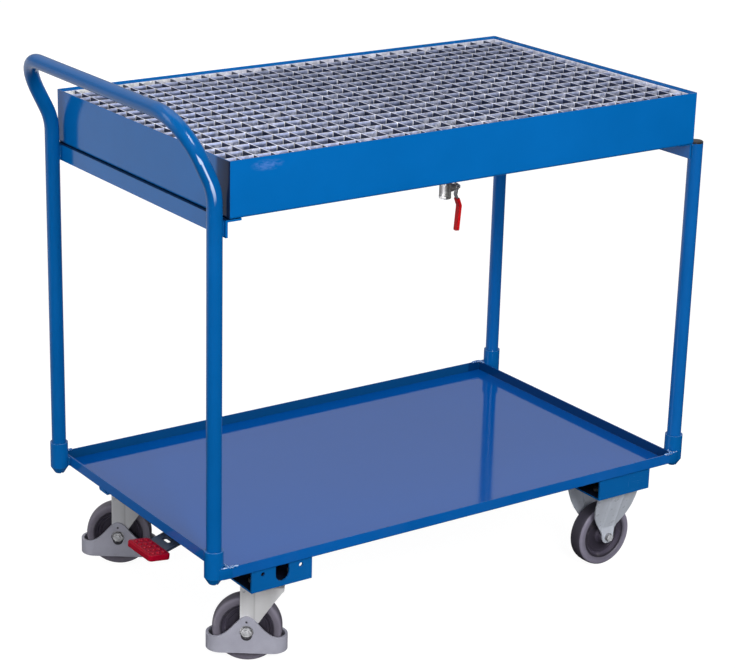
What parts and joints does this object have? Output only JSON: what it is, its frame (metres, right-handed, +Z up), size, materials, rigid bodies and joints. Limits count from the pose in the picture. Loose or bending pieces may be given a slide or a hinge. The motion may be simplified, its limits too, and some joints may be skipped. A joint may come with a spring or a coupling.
{
  "type": "tray trolley",
  "caption": "Tubular steel table trolley with an upper catch tray under a lift-out grating, a lower sheet tray, a push handle and braked swivel castors.",
  "frame": {"origin": "on the floor, under the centre of the trolley's bounding box", "axes": "+Z up, +X from the push handle towards the fixed castors, -Y the side the drain valve is nearer to"},
  "size_m": [1.1282, 0.613, 1.0255],
  "materials": {
    "blue_powder_coat": "gloss powder coat on sheet and tube",
    "galvanised": "hot-dip galvanised",
    "zinc_plated": "bright zinc plated pressed steel",
    "grey_tyre": "grey non-marking rubber",
    "hub_plastic": "dark moulded polyamide",
    "guard_plastic": "grey moulded plastic",
    "red_plastic": "red ribbed plastic",
    "arm_steel": "dark slate coated steel",
    "nickel": "nickel plated brass",
    "black_plastic": "black moulded plastic",
    "white_seat": "white seat plastic",
    "red_sleeve": "dipped red vinyl"
  },
  "bodies": {
    "root": {"handle_frame": "blue_powder_coat", "right_leg_near": "blue_powder_coat", "right_leg_far": "blue_powder_coat", "leg_end_caps": "black_plastic", "catch_tray": "blue_powder_coat", "grating_ledges": "blue_powder_coat", "left_cross_angle": "blue_powder_coat", "right_cross_angle": "blue_powder_coat", "lower_deck": "blue_powder_coat", "deck_edge_tab": "blue_powder_coat", "leg_sockets": "blue_powder_coat", "bracket_left_near": "blue_powder_coat", "bracket_left_far": "blue_powder_coat", "bracket_right_near": "blue_powder_coat", "bracket_right_far": "blue_powder_coat", "castor_plate_bolts": "zinc_plated", "swivel_plate_near": "zinc_plated", "swivel_plate_far": "zinc_plated", "swivel_balls": "zinc_plated", "fixed_fork_near": "zinc_plated", "fixed_fork_far": "zinc_plated", "fixed_axle_bolts": "zinc_plated", "fixed_axle_sleeves": "zinc_plated", "shaft_bushes": "black_plastic", "drain_nipple": "nickel", "valve_body": "nickel", "valve_seats": "white_seat", "packing_nut": "nickel"},
    "grating": {"grating_frame": "galvanised", "bearing_bars": "galvanised", "cross_bars": "galvanised"},
    "pedal": {"brake_hex_shaft": "zinc_plated", "brake_cams": "zinc_plated", "pedal_arm": "arm_steel", "pedal_tread": "red_plastic"},
    "valve_handle": {"valve_ball": "nickel", "valve_stem": "zinc_plated", "valve_lever": "zinc_plated", "lever_grip": "red_sleeve", "lever_nut": "nickel"},
    "castor_near": {"swivel_fork_near": "zinc_plated", "foot_guard_near": "guard_plastic", "castor_pins_near": "zinc_plated", "axle_sleeve_near": "zinc_plated"},
    "wheel_left_near": {"tyre_left_near": "grey_tyre", "hub_left_near": "hub_plastic"},
    "wheel_right_near": {"tyre_right_near": "grey_tyre", "hub_right_near": "hub_plastic"},
    "shoe_near": {"brake_shoe_near": "zinc_plated"},
    "plunger_near": {"brake_plunger_near": "zinc_plated"},
    "castor_far": {"swivel_fork_far": "zinc_plated", "foot_guard_far": "guard_plastic", "castor_pins_far": "zinc_plated", "axle_sleeve_far": "zinc_plated"},
    "wheel_left_far": {"tyre_left_far": "grey_tyre", "hub_left_far": "hub_plastic"},
    "wheel_right_far": {"tyre_right_far": "grey_tyre", "hub_right_far": "hub_plastic"},
    "shoe_far": {"brake_shoe_far": "zinc_plated"},
    "plunger_far": {"brake_plunger_far": "zinc_plated"}
  },
  "joints": [
    {"name": "grating_lift", "type": "slide", "parent": "root", "child": "grating", "axis": [0, 0, 1], "range_m": [0, 0.08]},
    {"name": "pedal_press", "type": "hinge", "parent": "root", "child": "pedal", "pos_m": [-0.3607, 0, 0.1905], "axis": [0, -1, 0], "range_deg": [0, 15]},
    {"name": "valve_turn", "type": "hinge", "parent": "root", "child": "valve_handle", "pos_m": [0.0439, -0.19, 0.797], "axis": [-1, 0, 0], "range_deg": [0, 90]},
    {"name": "swivel_near", "type": "hinge", "parent": "root", "child": "castor_near", "pos_m": [-0.3607, -0.236, 0.155], "axis": [0, 0, 1], "continuous": true},
    {"name": "wheel_left_near_spin", "type": "hinge", "parent": "castor_near", "child": "wheel_left_near", "pos_m": [-0.38196, -0.22104, 0.0625], "axis": [-0.5756, -0.8177, 0], "continuous": true},
    {"name": "wheel_right_near_spin", "type": "hinge", "parent": "root", "child": "wheel_right_near", "pos_m": [0.4173, -0.236, 0.0625], "axis": [0, 1, 0], "continuous": true},
    {"name": "plunger_near_slide", "type": "slide", "parent": "root", "child": "plunger_near", "axis": [0, 0, -1], "range_m": [0, 0.00198]},
    {"name": "shoe_near_pivot", "type": "hinge", "parent": "castor_near", "child": "shoe_near", "pos_m": [-0.38605, -0.21816, 0.139], "axis": [0.5756, 0.8177, 0], "range_deg": [0, 3.66]},
    {"name": "swivel_far", "type": "hinge", "parent": "root", "child": "castor_far", "pos_m": [-0.3607, 0.236, 0.155], "axis": [0, 0, 1], "continuous": true},
    {"name": "wheel_left_far_spin", "type": "hinge", "parent": "castor_far", "child": "wheel_left_far", "pos_m": [-0.38196, 0.25096, 0.0625], "axis": [-0.5756, -0.8177, 0], "continuous": true},
    {"name": "wheel_right_far_spin", "type": "hinge", "parent": "root", "child": "wheel_right_far", "pos_m": [0.4173, 0.236, 0.0625], "axis": [0, 1, 0], "continuous": true},
    {"name": "plunger_far_slide", "type": "slide", "parent": "root", "child": "plunger_far", "axis": [0, 0, -1], "range_m": [0, 0.00198]},
    {"name": "shoe_far_pivot", "type": "hinge", "parent": "castor_far", "child": "shoe_far", "pos_m": [-0.38605, 0.25384, 0.139], "axis": [0.5756, 0.8177, 0], "range_deg": [0, 3.66]}
  ],
  "couplings": [
    {"joint": "plunger_near_slide", "follows": "pedal_press", "m_per_rad": 0.007525},
    {"joint": "shoe_near_pivot", "follows": "pedal_press", "ratio": 0.2426},
    {"joint": "plunger_far_slide", "follows": "pedal_press", "m_per_rad": 0.007525},
    {"joint": "shoe_far_pivot", "follows": "pedal_press", "ratio": 0.2426}
  ]
}
